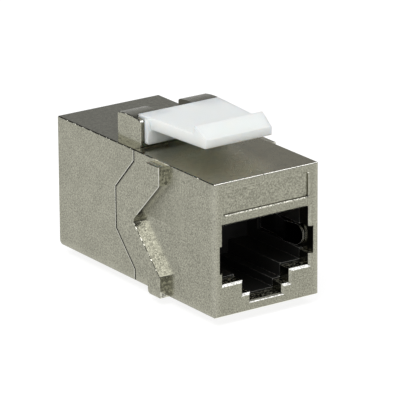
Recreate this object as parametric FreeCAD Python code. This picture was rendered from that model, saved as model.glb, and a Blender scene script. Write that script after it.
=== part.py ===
# Shielded keystone coupler: two die-cast halves around two back-to-back jacks.
# X is to the right of the front face, Y runs from the front face to the rear face, Z is up.
# The origin is the middle of the front face. All lengths are in millimetres.

import FreeCAD
import Part
import math
import os

# Housing
BODY_WIDTH = 14.5
BODY_HEIGHT = 16.0
FRONT_LENGTH = 16.15            # front face to the parting plane
REAR_LENGTH = 16.15             # parting plane to the rear face
FACE_WALL = 1.95
SIDE_WALL = 0.75
ROOF_WALL = 0.9
FLOOR_WALL = 0.75
PARTING_GAP = 0.16
EDGE_RADIUS = 0.15
HEEL_RADIUS = 0.6               # lower rear edge
MOUTH_CHAMFER = 0.25
LAP_WIDTH = 9.0                 # lips on roof and floor that register the halves
LAP_LENGTH = 1.6
LAP_THICKNESS = 0.35
LAP_CLEARANCE = 0.05

# Side tongues of the front half
TONGUE_LENGTH = 3.85
TONGUE_ROOT_HEIGHT = 13.1
TONGUE_TIP_HEIGHT = 5.0
TONGUE_EMBED = 0.5              # how far a tongue runs into its wall

# Chevron bands that stop against the back of a panel
BAND_FRONT = 9.6                # front face to the stop faces
BAND_WIDTH = 2.5
BAND_PROUD = 1.0
BAND_KNEE_HEIGHT = 11.0         # from knee to knee along the stop faces
BAND_LEAN = 45.0                # degrees from upright
BAND_DROP = 0.1                 # middle of the body down to the middle of a band
BAND_HEAD = 0.3                 # roof down to the upper end
BAND_TAIL = 0.15                # underside down to the lower end
BAND_NOTCH_RADIUS = 0.45
BAND_KNEE_RADIUS = 0.3
BAND_HEEL_RADIUS = 0.5          # lower rear corner
BAND_CHAMFER = 0.06
BAND_EMBED = 0.3                # how far a band runs into its wall

# Fixed catch on the underside
CATCH_WIDTH = 9.0
CATCH_HEIGHT = 1.1
CATCH_LAND = 0.5
CATCH_RAMP = 1.5

# Jack mouth, measured from the middle of the face
PORT_WIDTH = 12.0
PORT_TOP = 2.82
PORT_HEIGHT = 7.0
PORT_DEPTH = 12.3
STEP_WIDTH = 6.5                # first step of the tab slot
STEP_HEIGHT = 1.63
SLOT_WIDTH = 4.4                # second step of the tab slot
SLOT_HEIGHT = 1.0
NOTCH_WIDTH = 0.55              # side notches that show the ground springs
NOTCH_DROP = 2.35               # port top to notch top
NOTCH_HEIGHT = 3.3

# Label recess in the front face
LABEL_WIDTH = 11.8
LABEL_HEIGHT = 2.85
LABEL_BASE = 4.1                # above the middle of the face
LABEL_DEPTH = 0.3
LABEL_CORNER_RADIUS = 0.2
LABEL_CHAMFER = 0.12

# Ears of the rear half
EAR_GAP = 4.8
EAR_WIDTH = 3.8
EAR_DEPTH = 4.8
EAR_HEIGHT = 3.15
EAR_CROWN = 0.25
EAR_CORNER_RADIUS = 0.35
EAR_EDGE_RADIUS = 0.12         # along the outer edge of the crown
EAR_FOOT_SINK = 0.4             # how far an ear runs into the roof
EAR_CHEEK = 0.5                 # full-height strip outside the lip's rebate

# Latch
LATCH_TOP = 3.68                # top of the plate above the roof
PLATE_THICKNESS = 1.4
PLATE_FRONT = 5.4               # front face to the latch's tip
PLATE_REAR_WIDTH = 11.2
PLATE_FRONT_WIDTH = 9.16
RIDGE_BACK = 7.6                # front face to the ridge's upright side
RIDGE_HEIGHT = 1.03
TIP_HEIGHT = 1.05
FOOT_WIDTH = 11.7
FOOT_THICKNESS = 0.7
FOOT_GAP = 0.2                  # foot to ears
FOOT_DROP = 0.25                # top of the plate down to the foot's shoulders
FOOT_LIFT = 0.5                 # foot to roof
FOOT_FILLET = 0.5
LIP_LENGTH = 1.3                # how far the lip reaches over the ears
LIP_THICKNESS = 0.6
LIP_CLEARANCE = 0.3
LATCH_EDGE_RADIUS = 0.15
PIVOT_SETBACK = 1.45            # ear fronts to the pivot
PIVOT_HEIGHT = 1.3              # roof to the pivot
BARREL_RADIUS = 1.15
KNUCKLE_CLEARANCE = 0.1
TRUNNION_RADIUS = 0.7
TRUNNION_LENGTH = 1.0
TRUNNION_CLEARANCE = 0.05

# Jack bodies
INSERT_CLEARANCE = 0.05
INSERT_LEDGE = 0.2              # how far the jack's ledges stand above the housing's
SPRING_SLOT_MARGIN = 0.2
GROOVE_CLEARANCE = 0.08
COMB_LENGTH = 9.0
SOLDER_RELIEF = 0.6
SOLDER_MARGIN = 0.6

# Contacts
CONTACT_COUNT = 8
CONTACT_PITCH = 1.016
CONTACT_WIDTH = 0.45
CONTACT_THICKNESS = 0.35
CONTACT_BEND = 2.9              # face to the upright part
CONTACT_REACH = 10.4            # face to the free end
CONTACT_HANG = 0.2              # port top down to the lower bend
CONTACT_DROP = 2.25             # lower bend down to the free end
CONTACT_LOW_ROW = 1.35          # port top up to the lower row of runs
CONTACT_ROW_STEP = 1.1
CONTACT_BEND_RADIUS = 0.5
CONTACT_TAIL = 0.4              # past the far side of the board

# Ground springs
SPRING_THICKNESS = 0.2
SPRING_HEIGHT = 2.6
SPRING_TIP = 1.6                # face to the tip
SPRING_CREST = 4.2              # face to the innermost point
SPRING_HEEL = 7.2               # face to where the strip meets the wall
SPRING_END = 10.0
SPRING_BULGE = 0.7
SPRING_TIP_BULGE = 0.05
SPRING_BEND_RADIUS = 2.5
SPRING_TIP_RADIUS = 1.25

# Circuit board
BOARD_THICKNESS = 1.6
BOARD_CLEARANCE = 0.15
BOARD_HOLE_CLEARANCE = 0.08

# Derived places
HALF_WIDTH = BODY_WIDTH / 2
ROOF = BODY_HEIGHT / 2
UNDERSIDE = -BODY_HEIGHT / 2
LENGTH = FRONT_LENGTH + REAR_LENGTH
FRONT_END = FRONT_LENGTH - PARTING_GAP / 2
REAR_START = FRONT_LENGTH + PARTING_GAP / 2
CAVITY_HALF = HALF_WIDTH - SIDE_WALL
CAVITY_TOP = ROOF - ROOF_WALL
CAVITY_FLOOR = UNDERSIDE + FLOOR_WALL
BAND_MIDDLE = -BAND_DROP
EAR_INNER = EAR_GAP / 2
EAR_OUTER = EAR_INNER + EAR_WIDTH
PIVOT_Y = REAR_START + PIVOT_SETBACK
PIVOT_Z = ROOF + PIVOT_HEIGHT
SPRING_Z = PORT_TOP - NOTCH_DROP - NOTCH_HEIGHT / 2

X_AXIS = FreeCAD.Vector(1, 0, 0)
Z_AXIS = FreeCAD.Vector(0, 0, 1)
CUT = 1.0                       # how far a cutting solid runs past a face
SAME = 1e-4                     # points closer than this are one point


def block(x0, x1, y0, y1, z0, z1):
    """A box between two corners."""
    return Part.makeBox(x1 - x0, y1 - y0, z1 - z0, FreeCAD.Vector(x0, y0, z0))


def side_view(x):
    """Places outline points (y, z) in the plane at x."""
    return lambda y, z: FreeCAD.Vector(x, y, z)


def face_view(y):
    """Places outline points (x, z) in the plane at y."""
    return lambda x, z: FreeCAD.Vector(x, y, z)


def plan_view(z):
    """Places outline points (x, y) in the plane at z."""
    return lambda x, y: FreeCAD.Vector(x, y, z)


def rounded_face(points, place):
    """A flat face whose corners (a, b) or (a, b, radius) are rounded with arcs."""
    corners = [(place(p[0], p[1]), p[2] if len(p) > 2 else 0.0) for p in points]
    runs = []
    for i, (corner, radius) in enumerate(corners):
        before = (corners[i - 1][0] - corner).normalize()
        after = (corners[(i + 1) % len(corners)][0] - corner).normalize()
        if radius == 0:
            runs.append((corner, None, corner))
            continue
        half = before.getAngle(after) / 2
        middle = corner + (before + after).normalize() * (radius / math.sin(half) - radius)
        setback = radius / math.tan(half)
        runs.append((corner + before * setback, middle, corner + after * setback))
    edges = []
    for i, (start, middle, end) in enumerate(runs):
        if middle is not None:
            edges.append(Part.Arc(start, middle, end).toShape())
        following = runs[(i + 1) % len(runs)][0]
        if (following - end).Length > SAME:
            edges.append(Part.LineSegment(end, following).toShape())
    return Part.Face(Part.Wire(edges))


def prism(points, place, direction):
    """A rounded outline pushed along a direction."""
    return rounded_face(points, place).extrude(direction)


def strip_outline(path, thickness, radius):
    """The outline of a strip that follows a path of points, with its bends rounded about one centre."""
    def offset(distance):
        shifted = []
        for i, (a, b) in enumerate(path):
            normals = []
            for j in (i - 1, i):
                if 0 <= j < len(path) - 1:
                    along = (path[j + 1][0] - path[j][0], path[j + 1][1] - path[j][1])
                    size = math.hypot(*along)
                    normals.append((-along[1] / size, along[0] / size))
            if len(normals) == 1:
                shifted.append((a + normals[0][0] * distance, b + normals[0][1] * distance, 0.0))
                continue
            (ax, ay), (bx, by) = normals
            scale = distance / (1 + ax * bx + ay * by)
            turns_left = ax * by > ay * bx
            bend = radius - distance if turns_left else radius + distance
            shifted.append((a + (ax + bx) * scale, b + (ay + by) * scale, bend))
        return shifted
    return offset(thickness / 2) + offset(-thickness / 2)[::-1]


def edges_where(shape, test):
    """The shape's edges whose every vertex and midpoint pass a test."""
    chosen = []
    for edge in shape.Edges:
        middle = edge.valueAt((edge.FirstParameter + edge.LastParameter) / 2)
        if all(test(p) for p in [v.Point for v in edge.Vertexes] + [middle]):
            chosen.append(edge)
    return chosen


def face_edges(shape, half, low, high):
    """The shape's edges in the plane Y 0 that lie within a window of that plane."""
    def inside(p):
        return near(p.y, 0) and abs(p.x) < half + SAME and low - SAME < p.z < high + SAME
    return edges_where(shape, inside)


def near(a, b):
    return abs(a - b) < SAME


def mirrored(shape):
    """The shape's mirror image across the middle plane."""
    return shape.mirror(FreeCAD.Vector(), X_AXIS)


def turned(shape):
    """The shape turned half round, so that what faces the front faces the rear."""
    return shape.rotated(FreeCAD.Vector(0, LENGTH / 2, 0), Z_AXIS, 180)


def port_outline(raise_ledges=0.0):
    """The stepped jack mouth (x, z): wide body, two tab steps below."""
    ledge = PORT_TOP - PORT_HEIGHT + raise_ledges
    step = ledge - STEP_HEIGHT
    levels = [
        (PORT_WIDTH / 2, PORT_TOP, ledge),
        (STEP_WIDTH / 2, ledge, step),
        (SLOT_WIDTH / 2, step, step - SLOT_HEIGHT),
    ]
    right = []
    for half, top, bottom in levels:
        right += [(half, top), (half, bottom)]
    return right + [(-x, z) for x, z in reversed(right)]


def mouth_cut():
    """The jack mouth and its side notches, cut through a face wall at Y 0."""
    through = FreeCAD.Vector(0, FACE_WALL + 2 * CUT, 0)
    mouth = prism(port_outline(), face_view(-CUT), through)
    notch_top = PORT_TOP - NOTCH_DROP
    reach = PORT_WIDTH / 2 + NOTCH_WIDTH
    return mouth.fuse(block(-reach, reach, -CUT, FACE_WALL + CUT, notch_top - NOTCH_HEIGHT, notch_top))


def eased(size, wall):
    """The size of a chamfer, limited to half of what the rounded outer edge leaves of the wall beside it."""
    return min(size, (wall - EDGE_RADIUS) / 2)


def shell(length, heel_radius=0.0):
    """Half a housing: a box with its face at Y 0, its far end open and its outer edges rounded."""
    side = [(0, UNDERSIDE, heel_radius), (length, UNDERSIDE), (length, ROOF), (0, ROOF)]
    outer = prism(side, side_view(-HALF_WIDTH), FreeCAD.Vector(BODY_WIDTH, 0, 0))

    def outside(p):
        return near(abs(p.x), HALF_WIDTH) or near(p.y, 0) and near(abs(p.z), ROOF)
    rounded = [edge for edge in edges_where(outer, outside) if not near(edge.CenterOfMass.y, length)]
    outer = outer.makeFillet(EDGE_RADIUS, rounded)
    cavity = block(-CAVITY_HALF, CAVITY_HALF, FACE_WALL, length + CUT, CAVITY_FLOOR, CAVITY_TOP)
    body = outer.cut(cavity).cut(mouth_cut())
    lowest = PORT_TOP - PORT_HEIGHT - STEP_HEIGHT - SLOT_HEIGHT
    mouth = face_edges(body, PORT_WIDTH / 2, lowest, PORT_TOP)
    return body.makeChamfer(eased(MOUTH_CHAMFER, lowest - UNDERSIDE), mouth)


def tongue(clearance, x0, x1):
    """A side tongue, or the notch that takes it, between two X planes."""
    fall = (TONGUE_ROOT_HEIGHT - TONGUE_TIP_HEIGHT) / 2
    spread = clearance * math.hypot(TONGUE_LENGTH, fall) / TONGUE_LENGTH
    slope = fall / TONGUE_LENGTH

    def half_height(y):
        return TONGUE_ROOT_HEIGHT / 2 - (y - FRONT_END) * slope + spread

    root = FRONT_END - TONGUE_EMBED
    tip = FRONT_END + TONGUE_LENGTH + clearance
    points = [
        (root, -half_height(root)), (tip, -half_height(tip)),
        (tip, half_height(tip)), (root, half_height(root)),
    ]
    return prism(points, side_view(x0), FreeCAD.Vector(x1 - x0, 0, 0))


def band_outline():
    """One chevron band (y, z), of even width, pointing to the rear."""
    lean = math.radians(BAND_LEAN)
    high = ROOF - BAND_HEAD
    low = UNDERSIDE - BAND_TAIL
    knee = BAND_KNEE_HEIGHT / 2
    notch = BAND_FRONT + knee * math.tan(lean)
    back = BAND_FRONT + BAND_WIDTH
    back_knee = knee + BAND_WIDTH * math.tan(lean / 2)
    back_tip = back + back_knee * math.tan(lean)
    soft = BAND_KNEE_RADIUS
    return [
        (BAND_FRONT, low), (BAND_FRONT, BAND_MIDDLE - knee, soft), (notch, BAND_MIDDLE, BAND_NOTCH_RADIUS),
        (BAND_FRONT, BAND_MIDDLE + knee, soft), (BAND_FRONT, high), (back, high),
        (back, BAND_MIDDLE + back_knee, soft), (back_tip, BAND_MIDDLE, BAND_NOTCH_RADIUS + BAND_WIDTH),
        (back, BAND_MIDDLE - back_knee, soft), (back, low, BAND_HEEL_RADIUS),
    ]


def band():
    """The band on the right side, with its outer edge broken."""
    root = HALF_WIDTH - BAND_EMBED
    face = HALF_WIDTH + BAND_PROUD
    solid = prism(band_outline(), side_view(root), FreeCAD.Vector(face - root, 0, 0))
    return solid.makeChamfer(BAND_CHAMFER, edges_where(solid, lambda p: near(p.x, face)))


def catch():
    """The fixed catch: a ramp to the front and an upright side that hooks over a panel."""
    back = RIDGE_BACK
    lowest = UNDERSIDE - CATCH_HEIGHT
    inside = UNDERSIDE + FLOOR_WALL / 2
    points = [
        (back, inside), (back, lowest), (back - CATCH_LAND, lowest),
        (back - CATCH_LAND - CATCH_RAMP, UNDERSIDE), (back - CATCH_LAND - CATCH_RAMP, inside),
    ]
    return prism(points, side_view(-CATCH_WIDTH / 2), FreeCAD.Vector(CATCH_WIDTH, 0, 0))


def laps(clearance):
    """The lips on roof and floor, or with a clearance the rebates that take them."""
    half = LAP_WIDTH / 2 + clearance
    start = FRONT_END - LAP_LENGTH / 2
    end = FRONT_END + LAP_LENGTH + clearance
    depth = LAP_THICKNESS + clearance
    upper = block(-half, half, start, end, CAVITY_TOP, CAVITY_TOP + depth)
    return upper.fuse(block(-half, half, start, end, CAVITY_FLOOR - depth, CAVITY_FLOOR))


def with_label(body):
    """The front half with the label recess sunk into its face."""
    half = LABEL_WIDTH / 2
    high = LABEL_BASE + LABEL_HEIGHT
    corners = ((-half, LABEL_BASE), (half, LABEL_BASE), (half, high), (-half, high))
    outline = [(x, z, LABEL_CORNER_RADIUS) for x, z in corners]
    recess = prism(outline, face_view(LABEL_DEPTH), FreeCAD.Vector(0, -LABEL_DEPTH - CUT, 0))
    body = body.cut(recess)
    rim = face_edges(body, half, LABEL_BASE, high)
    return body.makeChamfer(eased(LABEL_CHAMFER, ROOF - high), rim)


def front_housing():
    body = shell(FRONT_END)
    right = band()
    right_tongue = tongue(0, CAVITY_HALF, HALF_WIDTH)
    body = body.multiFuse([
        right_tongue, mirrored(right_tongue), right, mirrored(right), catch(), laps(0),
    ]).removeSplitter()
    return with_label(body)


def ear():
    """The right ear: a crowned block with a rebate for the latch's lip and a blind bore for its trunnion."""
    front = REAR_START
    back = REAR_START + EAR_DEPTH
    shoulder = ROOF + EAR_HEIGHT
    sunk = ROOF - EAR_FOOT_SINK
    crown = Part.Arc(
        FreeCAD.Vector(EAR_INNER, back, shoulder),
        FreeCAD.Vector(EAR_INNER, (front + back) / 2, shoulder + EAR_CROWN),
        FreeCAD.Vector(EAR_INNER, front, shoulder),
    ).toShape()
    sides = Part.makePolygon([FreeCAD.Vector(EAR_INNER, y, z) for y, z in (
        (front, shoulder), (front, sunk), (back, sunk), (back, shoulder))])
    solid = Part.Face(Part.Wire([crown] + sides.Edges)).extrude(FreeCAD.Vector(EAR_WIDTH, 0, 0))
    corners = edges_where(solid, lambda p: near(p.z, shoulder))
    solid = solid.makeFillet(EAR_CORNER_RADIUS, corners)
    outer = edges_where(solid, lambda p: near(p.x, EAR_OUTER) and p.z > sunk + SAME)
    solid = solid.makeFillet(EAR_EDGE_RADIUS, outer)
    lip_end = REAR_START + LIP_LENGTH + LIP_CLEARANCE
    rebate = block(
        EAR_INNER - CUT, EAR_OUTER - EAR_CHEEK, front - CUT, lip_end,
        ROOF + LATCH_TOP - LIP_THICKNESS - LIP_CLEARANCE, shoulder + EAR_CROWN + CUT)
    bore = Part.makeCylinder(
        TRUNNION_RADIUS + TRUNNION_CLEARANCE, CUT + TRUNNION_LENGTH + KNUCKLE_CLEARANCE,
        FreeCAD.Vector(EAR_INNER - CUT, PIVOT_Y, PIVOT_Z), X_AXIS)
    return solid.cut(rebate), bore


def rear_housing():
    body = turned(shell(LENGTH - REAR_START, HEEL_RADIUS))
    right, bore = ear()
    body = body.multiFuse([right, mirrored(right)]).removeSplitter()
    outside = HALF_WIDTH + CUT
    notch = tongue(PARTING_GAP, CAVITY_HALF - CUT, outside)
    return body.cut([notch, mirrored(notch), laps(LAP_CLEARANCE), bore, mirrored(bore)])


def latch():
    """The latch: plate, ridge and lip in one tapered lever, on a broad foot and a barrel with trunnions."""
    top = ROOF + LATCH_TOP
    under = top - PLATE_THICKNESS
    foot_back = REAR_START - FOOT_GAP
    foot_front = foot_back - FOOT_THICKNESS
    foot_low = ROOF + FOOT_LIFT
    lip_back = REAR_START + LIP_LENGTH
    lip_under = top - LIP_THICKNESS
    soft = LATCH_EDGE_RADIUS
    profile = [
        (lip_back, lip_under), (lip_back, top, soft),
        (RIDGE_BACK, top, soft), (RIDGE_BACK, top + RIDGE_HEIGHT, soft),
        (PLATE_FRONT, under + TIP_HEIGHT, soft), (PLATE_FRONT, under, soft), (foot_front, under, FOOT_FILLET),
        (foot_front, foot_low, soft), (foot_back, foot_low, soft), (foot_back, lip_under),
    ]
    rear_half = PLATE_REAR_WIDTH / 2
    lever = prism(profile, side_view(-rear_half), FreeCAD.Vector(PLATE_REAR_WIDTH, 0, 0))
    half_plan = [(PLATE_FRONT_WIDTH / 2, PLATE_FRONT), (rear_half, lip_back)]
    plan = half_plan + [(-x, y) for x, y in reversed(half_plan)]
    low = foot_low - CUT
    lever = lever.common(prism(plan, plan_view(low), FreeCAD.Vector(0, 0, top + RIDGE_HEIGHT + CUT - low)))
    half_foot = FOOT_WIDTH / 2
    foot = block(-half_foot, half_foot, foot_front, foot_back, foot_low, top - FOOT_DROP)
    foot = foot.makeFillet(soft, edges_where(foot, lambda p: near(abs(p.x), half_foot)))
    half_knuckle = EAR_INNER - KNUCKLE_CLEARANCE
    neck = block(-half_knuckle, half_knuckle, foot_front, PIVOT_Y, foot_low, lip_under)
    barrel = Part.makeCylinder(
        BARREL_RADIUS, 2 * half_knuckle, FreeCAD.Vector(-half_knuckle, PIVOT_Y, PIVOT_Z), X_AXIS)
    half_pin = half_knuckle + TRUNNION_LENGTH
    pin = Part.makeCylinder(
        TRUNNION_RADIUS, 2 * half_pin, FreeCAD.Vector(-half_pin, PIVOT_Y, PIVOT_Z), X_AXIS)
    return lever.multiFuse([foot, neck, barrel, pin]).removeSplitter()


def contact_x(number):
    """Contact 1 is on the left when its own mouth is faced."""
    return (number - (CONTACT_COUNT + 1) / 2) * CONTACT_PITCH


def contact_run(number):
    """Height of a contact's run: odd and even contacts lie in two rows."""
    row = number % 2
    return PORT_TOP + CONTACT_LOW_ROW + row * CONTACT_ROW_STEP


def insert(depth):
    """A jack body from its face wall to the board, with combs for the contacts and slots for the springs."""
    half = CAVITY_HALF - INSERT_CLEARANCE
    top = CAVITY_TOP - INSERT_CLEARANCE
    body = block(-half, half, FACE_WALL, depth, CAVITY_FLOOR + INSERT_CLEARANCE, top)
    port_length = PORT_DEPTH - FACE_WALL + CUT
    port = prism(port_outline(INSERT_LEDGE), face_view(FACE_WALL - CUT), FreeCAD.Vector(0, port_length, 0))
    slot_half = SPRING_HEIGHT / 2 + SPRING_SLOT_MARGIN
    slots = block(
        -half - CUT, half + CUT, FACE_WALL - CUT, SPRING_END + SPRING_SLOT_MARGIN,
        SPRING_Z - slot_half, SPRING_Z + slot_half)
    cuts = [port, slots]
    comb_start = CONTACT_BEND - CONTACT_THICKNESS / 2 - GROOVE_CLEARANCE
    margin = CONTACT_THICKNESS / 2 + GROOVE_CLEARANCE
    for number in range(1, CONTACT_COUNT + 1):
        x0 = contact_x(number) - CONTACT_WIDTH / 2 - GROOVE_CLEARANCE
        x1 = contact_x(number) + CONTACT_WIDTH / 2 + GROOVE_CLEARANCE
        run = contact_run(number)
        cuts.append(block(x0, x1, comb_start, comb_start + COMB_LENGTH, PORT_TOP - CUT, run + margin))
        cuts.append(block(x0, x1, comb_start + COMB_LENGTH - CUT, depth + CUT, run - margin, run + margin))
    row_half = (CONTACT_COUNT - 1) / 2 * CONTACT_PITCH + SOLDER_MARGIN
    low_row = PORT_TOP + CONTACT_LOW_ROW
    cuts.append(block(
        -row_half, row_half, depth - SOLDER_RELIEF, depth + CUT,
        low_row - SOLDER_MARGIN, low_row + CONTACT_ROW_STEP + SOLDER_MARGIN))
    return body.cut(cuts)


def contact(number, depth):
    """One bent contact: tail in the board, run above the port, upright bend, sloping free end."""
    run = contact_run(number)
    bend = PORT_TOP - CONTACT_HANG
    path = [
        (depth + BOARD_THICKNESS + CONTACT_TAIL, run), (CONTACT_BEND, run),
        (CONTACT_BEND, bend), (CONTACT_REACH, bend - CONTACT_DROP),
    ]
    outline = strip_outline(path, CONTACT_THICKNESS, CONTACT_BEND_RADIUS)
    x = contact_x(number) - CONTACT_WIDTH / 2
    return prism(outline, side_view(x), FreeCAD.Vector(CONTACT_WIDTH, 0, 0))


def ground_spring():
    """The right ground spring: a strip on the side wall that bulges into the port, with a round tip."""
    wall = CAVITY_HALF - SPRING_THICKNESS / 2
    path = [
        (wall, SPRING_END), (wall, SPRING_HEEL),
        (wall - SPRING_BULGE, SPRING_CREST), (wall - SPRING_TIP_BULGE, SPRING_TIP),
    ]
    low = SPRING_Z - SPRING_HEIGHT / 2
    outline = strip_outline(path, SPRING_THICKNESS, SPRING_BEND_RADIUS)
    strip = prism(outline, plan_view(low), FreeCAD.Vector(0, 0, SPRING_HEIGHT))
    high = low + SPRING_HEIGHT
    side = [
        (SPRING_TIP, low, SPRING_TIP_RADIUS), (SPRING_END + CUT, low),
        (SPRING_END + CUT, high), (SPRING_TIP, high, SPRING_TIP_RADIUS),
    ]
    return strip.common(prism(side, side_view(0), FreeCAD.Vector(HALF_WIDTH, 0, 0)))


def circuit_board():
    """The upright board on the parting plane, with a hole for every contact's tail."""
    half = CAVITY_HALF - BOARD_CLEARANCE
    front = FRONT_LENGTH - BOARD_THICKNESS / 2
    body = block(
        -half, half, front, front + BOARD_THICKNESS,
        CAVITY_FLOOR + BOARD_CLEARANCE, CAVITY_TOP - BOARD_CLEARANCE)
    half_width = CONTACT_WIDTH / 2 + BOARD_HOLE_CLEARANCE
    half_height = CONTACT_THICKNESS / 2 + BOARD_HOLE_CLEARANCE
    holes = []
    for number in range(1, CONTACT_COUNT + 1):
        z = contact_run(number)
        for x in (contact_x(number), -contact_x(number)):
            holes.append(block(
                x - half_width, x + half_width, front - CUT, front + BOARD_THICKNESS + CUT,
                z - half_height, z + half_height))
    return body.cut(holes)


def main():
    os.makedirs("parts", exist_ok=True)
    front_depth = FRONT_LENGTH - BOARD_THICKNESS / 2
    rear_depth = REAR_LENGTH - BOARD_THICKNESS / 2
    spring = ground_spring()
    pieces = {
        "front_housing": front_housing(),
        "rear_housing": rear_housing(),
        "latch": latch(),
        "circuit_board": circuit_board(),
        "front_insert": insert(front_depth),
        "rear_insert": turned(insert(rear_depth)),
        "front_right_ground_spring": spring,
        "front_left_ground_spring": mirrored(spring),
        "rear_right_ground_spring": turned(mirrored(spring)),
        "rear_left_ground_spring": turned(spring),
    }
    for number in range(1, CONTACT_COUNT + 1):
        pieces[f"front_contact_{number}"] = contact(number, front_depth)
        pieces[f"rear_contact_{number}"] = turned(contact(number, rear_depth))
    for name, shape in pieces.items():
        shape.exportStep(f"parts/{name}.step")


main()
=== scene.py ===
"""Looks of the keystone coupler: materials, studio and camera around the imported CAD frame."""

import math
from collections import namedtuple

import bpy
from mathutils import Matrix, Vector


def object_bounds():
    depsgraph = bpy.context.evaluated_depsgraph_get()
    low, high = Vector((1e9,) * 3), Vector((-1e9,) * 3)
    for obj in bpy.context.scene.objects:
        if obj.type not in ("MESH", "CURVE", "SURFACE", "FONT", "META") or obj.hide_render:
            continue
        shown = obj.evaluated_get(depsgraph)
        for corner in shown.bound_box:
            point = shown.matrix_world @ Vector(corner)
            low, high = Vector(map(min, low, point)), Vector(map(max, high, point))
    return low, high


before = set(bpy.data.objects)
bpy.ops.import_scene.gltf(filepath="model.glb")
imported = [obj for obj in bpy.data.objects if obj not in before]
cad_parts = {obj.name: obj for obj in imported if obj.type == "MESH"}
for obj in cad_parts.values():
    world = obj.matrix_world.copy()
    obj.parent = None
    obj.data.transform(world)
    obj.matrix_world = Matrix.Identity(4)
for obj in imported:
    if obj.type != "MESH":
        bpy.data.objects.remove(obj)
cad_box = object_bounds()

MM = 0.001                          # a millimetre in the frame's metres
PER_MM = 1000.0                     # object coordinates, in metres, to millimetres

# Camera: the photograph's view, with sizes in metres and angles in degrees
AIM = Vector((0.0, 16.0 * MM, 0.0))
AZIMUTH = -34.55
ELEVATION = 18.6
ROLL = -0.37
DISTANCE = 468.2 * MM
SENSOR = 36.0                       # camera units: millimetres on the sensor
LENS = 361.1
PICTURE_RIGHT = 1.56 * MM           # the picture's middle lies right of and above the aim point
PICTURE_UP = 0.45 * MM
CLIP = (0.01, 20.0)                 # nearest and farthest distance in view

# Studio, in metres
FLOOR_RADIUS = 2.0
FLOOR_SEGMENTS = 96
FLOOR_COLOUR = (0.82, 0.82, 0.82)   # for light on its way to the part
FLOOR_SEEN_COLOUR = (0.28, 0.28, 0.28)
FLOOR_GLOW = 0.84                   # added where the floor is seen
WHITE = (1.0, 1.0, 1.0)
SOFTBOXES = (                       # name, direction from the part, distance, width and height, radiance
    ("key_left", (-0.54, -0.32, 0.78), 0.55, (0.36, 0.30), 4.6),
    ("top", (0.0, 0.15, 1.0), 0.60, (0.70, 0.70), 1.16),
    ("key_right", (0.54, -0.32, 0.78), 0.55, (0.22, 0.20), 2.8),
    ("fill_front", (-0.1, -0.95, 0.3), 0.60, (0.40, 0.25), 1.0),
    ("rim_left", (-0.54, 0.78, 0.32), 0.60, (0.24, 0.16), 1.8),
)
WORLD_STOPS = (                     # height of a direction, from level to straight up, and its grey
    (0.0, 0.50), (0.10, 0.46), (0.32, 0.40), (0.45, 0.12), (0.55, 0.05), (1.0, 0.05))

# Places on the casting in millimetres: heights are from mid-height, depths from the front face
SLACK = 0.01                        # room beside a face, so that the face itself lies within a range
SIDE = 7.25 + SLACK                 # half the width of the body
ROOF = 8.0 + SLACK                  # half the height of the body
BAND_CHAMFER = 0.06
BAND_EDGE = cad_box[1].x * PER_MM - BAND_CHAMFER       # half a width out to the bands' broken edges
MIDDLE = (cad_box[0].y + cad_box[1].y) / 2 * PER_MM
BODY, LOWER_HALF, UPPER_HALF = (-ROOF, ROOF), (-ROOF, 0.0), (0.0, ROOF)
EARS = (ROOF, 12.0)                 # heights of the ears
EAR_REACH = 3.0                     # half a width that takes in the inner faces of the ears
LABEL = (2.9, 7.4)                  # heights around the label recess
LESS_SHADED = (3.9, 4.45)                 # heights along the label's lower edge, which takes little of the painted crevice shade
SLOT = (-6.96, -6.6)                # heights around the sill of a mouth's slot, painted dark as shade
LOW_RIM = (-7.0, -8.0)              # heights from a wall's plain skin down to its edge, which has a painted highlight
FORE_RIM = (0.9, 0.0)               # depths from a wall's plain skin to its edge, which has a painted highlight
FACE_RIM = (6.5, 7.25)              # half widths from the front face's plain skin to its upright edges, which have a painted highlight
FORE = (0.0, 12.0)                  # depths of the side walls' more porous skin
STOPS = (2.0, 12.0)                 # depths around the bands' stop faces, which have a painted sheen
FRONT_ROOF_FADE = (9.0, 17.0)               # depths over which the front of the roof fades out: its painted reflection tint and its added roughness
HEAD_BACK, HEAD_UP, HEAD_OUT = (9.4, 12.3), (7.0, 8.1), (7.0, 8.13)    # around a band's upper end
UPPER_ARM = (0.8, ROOF)             # heights of a band's upper arm, above the notch between its arms
BESIDE = (5.0, 12.0)                # depths over which the wall before a band turns rough
ARM = 15.0                          # along a band's upper stop face, depth and height add up to this
PARTING = (15.5, 20.5)              # depths around the parting line on the side walls
PORT_SHADE = (9.5, 14.5)            # distances from the middle over which the painted edge highlight grows towards a mouth

# Limits of masks
SQUARE = 0.95                       # a normal's share along an axis, on faces square to that axis
BROKEN_EDGE = (0.27, 0.34)          # a normal's shares along two axes multiplied, from faces to slopes
SHARP_EDGE = (0.97, 0.80)           # the cosine of a rounding's turn, from flats to sharp edges
OPEN_SKY = (0.20, 0.55)             # the share of open sky, from crevices to open surfaces
FORWARD_LEAN = (-0.04, -0.22)       # a rounding's turn along Y, on edges that lean to the front
BACKWARD_LEAN = (0.02, 0.10)        # and on edges that lean to the back
MOST = (0.3, 0.7)                   # most values of a noise lie between these
PITS = (0.66, 0.74)                 # values of the pore noise, from plain skin to open pores
FORE_PORES = (0.56, 0.68)           # and on the more porous skin
TINT_NOISE = (0.35, 0.60)              # values of the roof tint's noise, from thin to full
ROUGH_SPECKS = (0.50, 0.62)         # values of the speck noise, from satin to rough
BEVEL_SAMPLES = 4
SKY_SAMPLES = 8

# Shares in the casting's colour
GRAIN_SHARE = 0.85                  # the rest is cloud
STOP_SHEEN_SHARE = 0.85
MOTTLED_SHARE = 0.7

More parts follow.
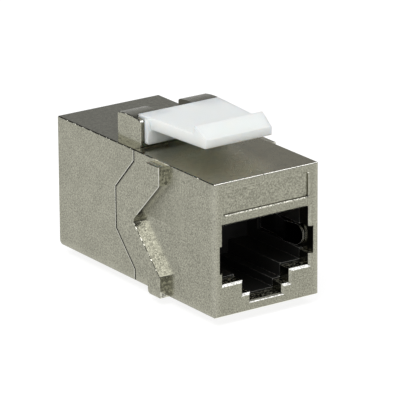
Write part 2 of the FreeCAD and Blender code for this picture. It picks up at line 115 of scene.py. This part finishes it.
# Gloss: roughness at the ends of a noise, what is added to it, and light inside the plastics
NICKEL_ROUGHNESS = (0.24, 0.16)
LATCH_ROUGHNESS = (0.36, 0.46)
JACK_ROUGHNESS = (0.4, 0.55)
GOLD_ROUGHNESS = (0.18, 0.3)
SPRING_ROUGHNESS = (0.12, 0.16)
BOARD_ROUGHNESS = (0.26, 0.38)
FRONT_ROOF_ROUGHNESS = 0.10
SPRING_EDGE_ROUGHNESS = 0.3
PLASTIC_IOR = 1.5
LATCH_SCATTER = (1.12, 1.0, 0.9)    # how far red, green and blue reach into the latch, by its depth
LATCH_DEPTH = 1.8 * MM

# Tones in linear red, green and blue: a plain one, or one at each limit of a value
Tones = namedtuple("Tones", "limits low high")
PLATING = Tones((0.34, 0.66), (0.181, 0.178, 0.140), (0.398, 0.393, 0.314))
PORE = (0.08, 0.078, 0.062)
# painted highlight along the walls' rims and the front face's upright edges
RIM_HIGHLIGHT = (0.60, 0.59, 0.50)
# speckled painted sheen on the bands' stop faces
STOP_FACE_SHEEN = Tones((0.42, 0.58), (0.26, 0.258, 0.22), (0.74, 0.735, 0.63))
MOTTLED = Tones((0.36, 0.64), (0.22, 0.217, 0.172), (0.37, 0.365, 0.29))
# painted shade on the ears' inner faces
EAR_CHEEK_SHADE = (0.09, 0.088, 0.075)
# painted reflection of the latch's warm underside on the front of the roof
ROOF_REFLECTION_TINT = (0.41, 0.385, 0.285)
# painted highlight on the upright edges
UPRIGHT_EDGE_HIGHLIGHT = (0.62, 0.61, 0.55)
# painted shade on the long top edges, with painted glints in specks
LONG_EDGE_SHADE_AND_GLINTS = Tones((0.58, 0.64), (0.008, 0.008, 0.007), (0.72, 0.71, 0.62))
# painted highlight on the brow, broken by dark specks
BROW_HIGHLIGHT = Tones((0.32, 0.39), (0.10, 0.099, 0.085), (1.0, 0.995, 0.94))
# painted highlight on the sills and stop faces in the lower half
LOWER_SLOPE_HIGHLIGHT = Tones((0.38, 0.62), (0.25, 0.249, 0.241), (0.55, 0.548, 0.538))
# painted shade that dims the label's lip
LIP_SHADE = Tones((0.42, 0.56), (0.07, 0.069, 0.06), (0.42, 0.417, 0.372))
# painted shade on the sills of the mouths' slots
SLOT_SILL_SHADE = (0.04, 0.039, 0.034)
# painted highlight on edges and slopes that look down
LOWER_EDGE_HIGHLIGHT = (0.92, 0.91, 0.83)
# speckled painted highlight on the bands' upper ends
HEAD_HIGHLIGHT = Tones((0.40, 0.62), (0.36, 0.345, 0.275), (0.70, 0.68, 0.56))
# painted highlight on the bands' front edges
BAND_RIM_HIGHLIGHT = (0.95, 0.94, 0.88)
# painted highlight on the parting line's front-leaning edges
PARTING_SILL_HIGHLIGHT = (0.80, 0.79, 0.72)
# painted shade in the parting line's gap
PARTING_HEEL_SHADE = (0.03, 0.029, 0.024)
# painted shade in crevices
CREVICE_SHADE = (0.02, 0.019, 0.016)
# painted light and shade under the bands' upper arms
OVERHANG_LIGHT_AND_SHADE = Tones((SIDE, BAND_EDGE), (0.98, 0.97, 0.90), (0.09, 0.088, 0.075))
LATCH_WHITE = Tones(MOST, (0.872, 0.922, 0.885), (0.887, 0.935, 0.898))
JACK_BLACK = Tones(MOST, (0.006, 0.006, 0.006), (0.014, 0.014, 0.013))
# painted highlight on the insert's edges
JACK_EDGE_HIGHLIGHT = (0.55, 0.55, 0.52)
GOLD = Tones(MOST, (0.72, 0.48, 0.17), (0.90, 0.66, 0.28))
# painted shade on the ground springs
SPRING_SHADE = Tones(MOST, (0.03, 0.03, 0.028), (0.05, 0.05, 0.047))
# painted highlight along the springs' edges
SPRING_EDGE_HIGHLIGHT = (0.97, 0.97, 0.94)
SOLDER_MASK = Tones((0.25, 0.75), (0.010, 0.075, 0.028), (0.016, 0.11, 0.042))


class Graph:
    """Adds shader nodes to a tree and joins them: an input is a value, or the output that feeds it."""

    def __init__(self, tree):
        self.tree = tree
        tree.nodes.clear()

    def add(self, kind, settings=None, **inputs):
        """A node with its settings, and with inputs given by name, or by number as i0 and i1."""
        node = self.tree.nodes.new(kind)
        for name, value in (settings or {}).items():
            setattr(node, name, value)
        for name, value in inputs.items():
            numbered = name[0] == "i" and name[1:].isdigit()
            self.feed(node.inputs[int(name[1:]) if numbered else name.replace("_", " ")], value)
        return node

    def feed(self, socket, value):
        """Joins an output to a socket, or sets the socket's value. A tone becomes an opaque colour."""
        if isinstance(value, bpy.types.NodeSocket):
            self.tree.links.new(value, socket)
        elif socket.type == "RGBA":
            socket.default_value = (*value, 1.0)
        else:
            socket.default_value = value

    def math(self, operation, a, b=0.0):
        """One operation on one or two values."""
        return self.add("ShaderNodeMath", {"operation": operation}, i0=a, i1=b).outputs[0]

    def product(self, first, *others):
        """Masks and shares multiplied: what is left is where all of the masks hold."""
        for other in others:
            first = self.math("MULTIPLY", first, other)
        return first

    def total(self, first, *others):
        """Values added up."""
        for other in others:
            first = self.math("ADD", first, other)
        return first

    def mixture(self, a, b, share):
        """A share of a, and the rest of b."""
        return self.total(self.product(a, share), self.product(b, 1.0 - share))

    def spread(self, value, limits, ends):
        """A value between two limits, spread over the range between two ends."""
        return self.add("ShaderNodeMapRange", None, Value=value, From_Min=limits[0], From_Max=limits[1],
                        To_Min=ends[0], To_Max=ends[1]).outputs["Result"]

    def rise(self, value, limits, top=1.0):
        """0 up to the first limit of a value, and the top from the second."""
        return self.spread(value, limits, (0.0, top))

    def between(self, value, limits):
        """1 where a value lies between two limits, and 0 elsewhere."""
        low, high = limits
        return self.product(self.math("GREATER_THAN", value, low), self.math("LESS_THAN", value, high))

    def blend(self, factor, a, b):
        """A colour between a and b."""
        node = self.add("ShaderNodeMix", {"data_type": "RGBA"})
        sockets = {socket.identifier: socket for socket in node.inputs}
        for name, value in (("Factor_Float", factor), ("A_Color", a), ("B_Color", b)):
            self.feed(sockets[name], value)
        return next(socket for socket in node.outputs if socket.identifier == "Result_Color")

    def toned(self, value, tones):
        """A colour that runs from the low tone to the high one with a value."""
        return self.blend(self.rise(value, tones.limits), tones.low, tones.high)

    def along(self, vector, axis):
        """One part of a vector."""
        return self.add("ShaderNodeSeparateXYZ", None, Vector=vector).outputs[axis]

    def millimetres(self, stretch=(1.0, 1.0, 1.0)):
        """The object's own coordinates in millimetres, stretched along its axes."""
        coordinates = self.add("ShaderNodeTexCoord").outputs["Object"]
        scale = [PER_MM * factor for factor in stretch]
        return self.add("ShaderNodeMapping", None, Vector=coordinates, Scale=scale).outputs["Vector"]

    def noise(self, vector, per_mm, detail=3.0, roughness=0.55):
        """Soft random values between 0 and 1."""
        return self.add("ShaderNodeTexNoise", None, Vector=vector, Scale=per_mm, Detail=detail,
                        Roughness=roughness).outputs["Fac"]

    def checks(self, vector, per_mm):
        """0 and 1 in turn, like a weave."""
        return self.add("ShaderNodeTexChecker", None, Vector=vector, Scale=per_mm).outputs["Fac"]

    def bump(self, height, strength, depth_mm):
        """A normal that follows the height of a noise."""
        return self.add("ShaderNodeBump", None, Height=height, Strength=strength,
                        Distance=depth_mm * MM).outputs["Normal"]

    def flat(self):
        """The surface's own normal."""
        return self.add("ShaderNodeNewGeometry").outputs["Normal"]

    def rounded(self, radius_mm):
        """The normal that the surface would have with its sharp edges rounded. Only masks use it."""
        bevel = self.add("ShaderNodeBevel", {"samples": BEVEL_SAMPLES}, Radius=radius_mm * MM)
        return bevel.outputs["Normal"]

    def facing(self, axis, sign):
        """1 on faces square to an axis that look along its sign, and 0 elsewhere."""
        return self.math("GREATER_THAN", self.product(self.along(self.flat(), axis), sign), SQUARE)

    def corner(self, a, b, sign, top=1.0):
        """0 on faces square to the axes a and b, and the top on slopes between them that look b's way."""
        normal = self.flat()
        shares = self.product(self.math("ABSOLUTE", self.along(normal, a)), self.along(normal, b), sign)
        return self.rise(shares, BROKEN_EDGE, top)

    def edge(self, radius_mm):
        """0 on flats, towards 1 within a radius of a sharp edge."""
        turn = self.add("ShaderNodeVectorMath", {"operation": "DOT_PRODUCT"}, i0=self.flat(),
                        i1=self.rounded(radius_mm)).outputs["Value"]
        return self.rise(turn, SHARP_EDGE)

    def crevice(self, reach_mm):
        """0 on open surfaces, towards 1 in gaps and inner corners within a reach."""
        sky = self.add("ShaderNodeAmbientOcclusion", {"samples": SKY_SAMPLES}, Distance=reach_mm * MM)
        return self.spread(sky.outputs["AO"], OPEN_SKY, ends=(1.0, 0.0))

    def surface(self, **inputs):
        """Ends the graph in one surface shader."""
        shader = self.add("ShaderNodeBsdfPrincipled", None, **inputs)
        self.add("ShaderNodeOutputMaterial", None, Surface=shader.outputs["BSDF"])


class Casting(Graph):
    """A graph for the casting, with the places, faces and noises that the layers of its colour share."""

    def __init__(self, tree):
        super().__init__(tree)
        self.place = self.millimetres()
        self.across = self.along(self.place, "X")
        self.back = self.along(self.place, "Y")
        self.up = self.along(self.place, "Z")
        self.out = self.math("ABSOLUTE", self.across)
        self.grain = self.noise(self.place, per_mm=5.5, detail=2.0, roughness=0.6)
        self.pore = self.noise(self.place, per_mm=4.5, detail=2.0)
        self.speck = self.noise(self.place, per_mm=3.5, detail=1.0)
        self.fronts = self.facing("Y", -1.0)
        self.tops = self.facing("Z", 1.0)
        self.walls = self.math("MAXIMUM", self.facing("X", -1.0), self.facing("X", 1.0))
        self.off_bands = self.math("LESS_THAN", self.out, SIDE)
        self.lean = self.along(self.rounded(radius_mm=0.20), "Y")

    def upper_arms(self):
        """1 within the upper arms of the bands, and 0 elsewhere."""
        return self.product(self.math("GREATER_THAN", self.out, SIDE), self.between(self.up, UPPER_ARM))

    def parting_walls(self):
        """1 on the side walls around the parting line, and 0 elsewhere."""
        return self.product(self.walls, self.between(self.back, PARTING), self.between(self.up, BODY),
                            self.off_bands)

    def front_roof(self):
        """1 on the front of the roof, fading out under the latch, and 0 elsewhere."""
        fading = self.spread(self.back, FRONT_ROOF_FADE, ends=(1.0, 0.0))
        return self.product(self.tops, fading, self.between(self.up, UPPER_HALF), self.off_bands)


def material(name, kind=Graph):
    """A new material, and the graph of its nodes."""
    made = bpy.data.materials.new(name)
    made.use_nodes = True
    return made, kind(made.node_tree)


# Nickel casting: each layer gives the mask where it lies and its tone

def plating(cast):
    """The colour under all layers: blasted grain with faint clouds."""
    cloud = cast.noise(cast.place, per_mm=0.5, detail=2.0)
    return cast.toned(cast.mixture(cast.grain, cloud, GRAIN_SHARE), PLATING)


def pits(cast):
    """A few open pores everywhere."""
    return cast.rise(cast.pore, PITS, top=0.6), PORE


def fore_pores(cast):
    """More pores on the side walls near the front."""
    porous = cast.rise(cast.pore, FORE_PORES, top=0.45)
    return cast.product(cast.walls, cast.between(cast.back, FORE), porous), PORE


def rim_highlights(cast):
    """Painted highlight on the walls along their lower and front edges, and on the front face along its
    upright edges.
    """
    low = cast.rise(cast.up, LOW_RIM, top=0.22)
    fore = cast.rise(cast.back, FORE_RIM, top=0.18)
    face = cast.rise(cast.out, FACE_RIM, top=0.25)
    on_walls = cast.product(cast.walls, cast.math("MAXIMUM", low, fore))
    return cast.total(on_walls, cast.product(cast.fronts, face)), RIM_HIGHLIGHT


def stop_faces(cast):
    """The upright stop faces of the bands, with a speckled painted sheen."""
    mask = cast.product(cast.fronts, cast.between(cast.back, STOPS), STOP_SHEEN_SHARE)
    return mask, cast.toned(cast.speck, STOP_FACE_SHEEN)


def mottled_tops(cast):
    """Faces that look up, with broader spots."""
    spots = cast.noise(cast.place, per_mm=2.4)
    return cast.product(cast.tops, MOTTLED_SHARE), cast.toned(spots, MOTTLED)


def shaded_ear_cheeks(cast):
    """The inner faces of the two ears, darkened with painted shade where they face the latch."""
    left = cast.product(cast.facing("X", 1.0), cast.between(cast.across, (-EAR_REACH, 0.0)))
    right = cast.product(cast.facing("X", -1.0), cast.between(cast.across, (0.0, EAR_REACH)))
    return cast.product(cast.math("MAXIMUM", left, right), cast.between(cast.up, EARS)), EAR_CHEEK_SHADE


def painted_roof_reflection(cast):
    """A faint warm tint on the front of the roof: a painted reflection of the latch's underside."""
    uneven = cast.spread(cast.noise(cast.place, per_mm=1.1), TINT_NOISE, ends=(0.6, 1.0))
    return cast.product(cast.front_roof(), uneven), ROOF_REFLECTION_TINT


def upright_edges(cast):
    """Upright edges that look to the front, a little bright with a painted highlight."""
    return cast.corner("X", "Y", -1.0, top=0.15), UPRIGHT_EDGE_HIGHLIGHT


def long_edges(cast):
    """Edges along the part that look up: painted shade, broken by painted glints in specks."""
    return cast.corner("X", "Z", 1.0, top=0.95), cast.toned(cast.speck, LONG_EDGE_SHADE_AND_GLINTS)


def cross_edges(cast):
    """Edges and slopes across the part that look up: painted highlights on the brow and the lower sills and
    stop faces, painted shade on the lip and the slots' sills.
    """
    brow, lower_highlight = cast.toned(cast.speck, BROW_HIGHLIGHT), cast.toned(cast.grain, LOWER_SLOPE_HIGHLIGHT)
    highlight_and_shade = cast.blend(cast.between(cast.up, LOWER_HALF), brow, lower_highlight)
    highlight_and_shade = cast.blend(cast.between(cast.up, LABEL), highlight_and_shade, cast.toned(cast.grain, LIP_SHADE))
    highlight_and_shade = cast.blend(cast.between(cast.up, SLOT), highlight_and_shade, SLOT_SILL_SHADE)
    return cast.corner("Y", "Z", 1.0, top=0.85), highlight_and_shade


def lower_edges(cast):
    """Edges and slopes across the part that look down, brightened with a painted highlight."""
    return cast.corner("Y", "Z", -1.0), LOWER_EDGE_HIGHLIGHT


def band_heads(cast):
    """The upper ends of the bands, lightened in specks with a painted highlight."""
    top = cast.math("MAXIMUM", cast.tops, cast.corner("X", "Z", 1.0))
    around = ((cast.back, HEAD_BACK), (cast.up, HEAD_UP), (cast.out, HEAD_OUT))
    mask = cast.product(top, *(cast.between(value, limits) for value, limits in around))
    return mask, cast.toned(cast.speck, HEAD_HIGHLIGHT)


def band_rims(cast):
    """The broken front edges of the bands' upper arms, with a painted highlight."""
    return cast.product(cast.upper_arms(), cast.corner("X", "Y", -1.0, top=0.4)), BAND_RIM_HIGHLIGHT


def parting_sills(cast):
    """Edges of the parting line that lean to the front, with a painted highlight."""
    return cast.product(cast.parting_walls(), cast.rise(cast.lean, FORWARD_LEAN)), PARTING_SILL_HIGHLIGHT


def parting_heels(cast):
    """Edges of the parting line that lean to the back, darkened with painted shade in the gap."""
    return cast.product(cast.parting_walls(), cast.rise(cast.lean, BACKWARD_LEAN, top=0.95)), PARTING_HEEL_SHADE


def crevice_shading(cast):
    """Painted shade in crevices, though little along the label's lower edge."""
    shade_share = cast.spread(cast.between(cast.up, LESS_SHADED), limits=(0.0, 1.0), ends=(0.95, 0.25))
    return cast.product(cast.crevice(reach_mm=0.35), shade_share), CREVICE_SHADE


def overhangs(cast):
    """The slopes under the bands' upper arms, in painted light and shade: bright at the wall, and dark out
    at the band's face.
    """
    return cast.product(cast.upper_arms(), cast.corner("Y", "Z", -1.0)), cast.toned(cast.out, OVERHANG_LIGHT_AND_SHADE)


CASTING_LAYERS = (pits, fore_pores, rim_highlights, stop_faces, mottled_tops, shaded_ear_cheeks, painted_roof_reflection,
                  upright_edges, long_edges, cross_edges, lower_edges, band_heads, band_rims,
                  parting_sills, parting_heels, crevice_shading, overhangs)


def casting_roughness(cast):
    """Satin, and rougher on the mouths' sills, the front of the roof and the walls before the bands."""
    satin = cast.spread(cast.grain, MOST, NICKEL_ROUGHNESS)
    specks = cast.rise(cast.speck, ROUGH_SPECKS, top=0.6)
    sills = cast.product(cast.tops, cast.between(cast.up, LOWER_HALF), specks)
    roof = cast.product(cast.front_roof(), FRONT_ROOF_ROUGHNESS)
    before_band = cast.math("LESS_THAN", cast.total(cast.back, cast.up), ARM)
    beside = cast.product(cast.walls, cast.off_bands, before_band, cast.between(cast.up, UPPER_ARM),
                          cast.rise(cast.back, BESIDE, top=0.30))
    return cast.total(satin, sills, roof, beside)


def nickel_casting():
    """Satin nickel on a die casting: plating with fine blasted grain, under layers of pores, mottles,
    painted highlights and painted shade.
    """
    made, cast = material("nickel_casting", Casting)
    colour = plating(cast)
    for layer in CASTING_LAYERS:
        mask, tone = layer(cast)
        colour = cast.blend(mask, colour, tone)
    cast.surface(Base_Color=colour, Metallic=1.0, Roughness=casting_roughness(cast),
                 Normal=cast.bump(cast.grain, strength=0.35, depth_mm=0.02))
    return made


# Other materials

def white_plastic():
    """Moulded white plastic with a fine matt skin."""
    made, graph = material("white_plastic")
    place = graph.millimetres()
    skin = graph.noise(place, per_mm=7.0)
    cloud = graph.noise(place, per_mm=0.4, detail=2.0)
    graph.surface(Base_Color=graph.toned(cloud, LATCH_WHITE), IOR=PLASTIC_IOR,
                  Roughness=graph.spread(skin, MOST, LATCH_ROUGHNESS),
                  Subsurface_Weight=1.0, Subsurface_Radius=LATCH_SCATTER, Subsurface_Scale=LATCH_DEPTH,
                  Normal=graph.bump(skin, strength=0.1, depth_mm=0.01))
    return made


def black_plastic():
    """Black moulded plastic inside the jacks, with a painted highlight on its edges that grows towards the
    mouths.
    """
    made, graph = material("black_plastic")
    place = graph.millimetres()
    skin = graph.noise(place, per_mm=5.0)
    off_middle = graph.math("ABSOLUTE", graph.math("SUBTRACT", graph.along(place, "Y"), MIDDLE))
    daylight = graph.spread(off_middle, PORT_SHADE, ends=(0.12, 0.9))
    edges = graph.product(graph.edge(radius_mm=0.09), daylight)
    graph.surface(Base_Color=graph.blend(edges, graph.toned(skin, JACK_BLACK), JACK_EDGE_HIGHLIGHT), IOR=PLASTIC_IOR,
                  Roughness=graph.spread(skin, MOST, JACK_ROUGHNESS),
                  Normal=graph.bump(skin, strength=0.15, depth_mm=0.01))
    return made


def gold_contact():
    """Gold plating on the contacts, drawn along their length."""
    made, graph = material("gold_contact")
    streak = graph.noise(graph.millimetres(stretch=(12.0, 1.0, 1.0)), per_mm=2.0)
    graph.surface(Base_Color=graph.toned(streak, GOLD), Metallic=1.0,
                  Roughness=graph.spread(streak, MOST, GOLD_ROUGHNESS))
    return made


def spring_metal():
    """Strip of the ground springs, painted dark as shade, with a painted highlight along its edges."""
    made, graph = material("spring_metal")
    streak = graph.noise(graph.millimetres(stretch=(1.0, 0.5, 14.0)), per_mm=1.5)
    edge_glint = graph.edge(radius_mm=0.17)
    roughness = graph.spread(streak, MOST, SPRING_ROUGHNESS)
    graph.surface(Base_Color=graph.blend(edge_glint, graph.toned(streak, SPRING_SHADE), SPRING_EDGE_HIGHLIGHT), Metallic=1.0,
                  Roughness=graph.total(roughness, graph.product(edge_glint, SPRING_EDGE_ROUGHNESS)))
    return made


def board_laminate():
    """Green solder mask over a woven laminate."""
    made, graph = material("board_laminate")
    place = graph.millimetres()
    weave = graph.checks(place, per_mm=2.0)
    cloud = graph.noise(place, per_mm=1.2, detail=2.0)
    tone = graph.mixture(weave, cloud, share=0.15)
    graph.surface(Base_Color=graph.toned(tone, SOLDER_MASK), IOR=PLASTIC_IOR,
                  Roughness=graph.spread(cloud, MOST, BOARD_ROUGHNESS))
    return made


FINISHES = {make.__name__: make for make in
            (nickel_casting, white_plastic, black_plastic, gold_contact, spring_metal, board_laminate)}


def dress_nodes():
    """Gives each CAD node the finish that its packed material slot names."""
    made = {}
    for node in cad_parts.values():
        name = node.material_slots[0].material.name.split(".")[0]
        if name not in made:
            made[name] = FINISHES[name]()
        node.material_slots[0].material = made[name]


# Studio and camera

def floor_paper():
    """Paper that throws light back on the part. Where it is seen, it glows and keeps the shadow."""
    made, graph = material("floor")
    path = graph.add("ShaderNodeLightPath").outputs
    seen = graph.math("MAXIMUM", path["Is Camera Ray"], path["Is Glossy Ray"])
    seen = graph.math("MAXIMUM", seen, path["Is Transmission Ray"])
    colour = graph.blend(seen, FLOOR_COLOUR, FLOOR_SEEN_COLOUR)
    paper = graph.add("ShaderNodeBsdfDiffuse", None, Color=colour).outputs["BSDF"]
    glow = graph.add("ShaderNodeEmission", None, Color=WHITE,
                     Strength=graph.product(seen, FLOOR_GLOW)).outputs["Emission"]
    both = graph.add("ShaderNodeAddShader", None, i0=paper, i1=glow).outputs["Shader"]
    graph.add("ShaderNodeOutputMaterial", None, Surface=both)
    return made


def add_floor():
    """A white disc under the object."""
    lowest = cad_box[0].z
    angles = [2 * math.pi * i / FLOOR_SEGMENTS for i in range(FLOOR_SEGMENTS)]
    ring = [(FLOOR_RADIUS * math.cos(angle), FLOOR_RADIUS * math.sin(angle), lowest) for angle in angles]
    mesh = bpy.data.meshes.new("floor")
    mesh.from_pydata(ring, [], [tuple(range(FLOOR_SEGMENTS))])
    mesh.materials.append(floor_paper())
    floor = bpy.data.objects.new("floor", mesh)
    bpy.context.scene.collection.objects.link(floor)


def add_world():
    """Plain studio surroundings: pale grey around, and dark overhead."""
    world = bpy.data.worlds.new("studio")
    bpy.context.scene.world = world
    world.use_nodes = True
    graph = Graph(world.node_tree)
    direction = graph.add("ShaderNodeTexCoord").outputs["Generated"]
    ramp = graph.add("ShaderNodeValToRGB", None, Fac=graph.along(direction, "Z"))
    stops = ramp.color_ramp.elements
    while len(stops) < len(WORLD_STOPS):
        stops.new(0.5)              # between the ends, and placed below
    for stop, (height, grey) in zip(stops, WORLD_STOPS):
        stop.position = height
        stop.color = (grey, grey, grey, 1.0)
    background = graph.add("ShaderNodeBackground", None, Color=ramp.outputs["Color"], Strength=1.0)
    graph.add("ShaderNodeOutputWorld", None, Surface=background.outputs["Background"])


def add_softbox(name, direction, distance, size, radiance):
    """A rectangular softbox that faces the part and stays out of the picture."""
    light = bpy.data.lights.new(name, "AREA")
    light.shape = "RECTANGLE"
    light.size, light.size_y = size
    light.energy = radiance * math.pi * size[0] * size[1]
    lamp = bpy.data.objects.new(name, light)
    towards = Vector(direction).normalized()
    lamp.location = AIM + towards * distance
    lamp.rotation_mode = "QUATERNION"
    lamp.rotation_quaternion = (-towards).to_track_quat("-Z", "Y")
    lamp.visible_camera = False
    bpy.context.scene.collection.objects.link(lamp)


def add_camera():
    """The photograph's camera."""
    azimuth, elevation = math.radians(AZIMUTH), math.radians(ELEVATION)
    roll = Matrix.Rotation(math.radians(ROLL), 3, "Z")
    back = Vector((math.sin(azimuth) * math.cos(elevation), -math.cos(azimuth) * math.cos(elevation),
                   math.sin(elevation)))
    turned = (-back).to_track_quat("-Z", "Y").to_matrix() @ roll
    right, up = turned.col[0], turned.col[1]
    place = AIM + back * DISTANCE
    ahead = AIM + right * PICTURE_RIGHT + up * PICTURE_UP - place
    aimed = ahead.to_track_quat("-Z", "Y").to_matrix() @ roll
    data = bpy.data.cameras.new("camera")
    data.sensor_width = SENSOR
    data.lens = LENS
    data.clip_start, data.clip_end = CLIP
    camera = bpy.data.objects.new("camera", data)
    camera.matrix_world = Matrix.Translation(place) @ aimed.to_4x4()
    bpy.context.scene.collection.objects.link(camera)
    bpy.context.scene.camera = camera


dress_nodes()
add_floor()
add_world()
for softbox in SOFTBOXES:
    add_softbox(*softbox)
add_camera()
bpy.context.scene.view_settings.view_transform = "Standard"
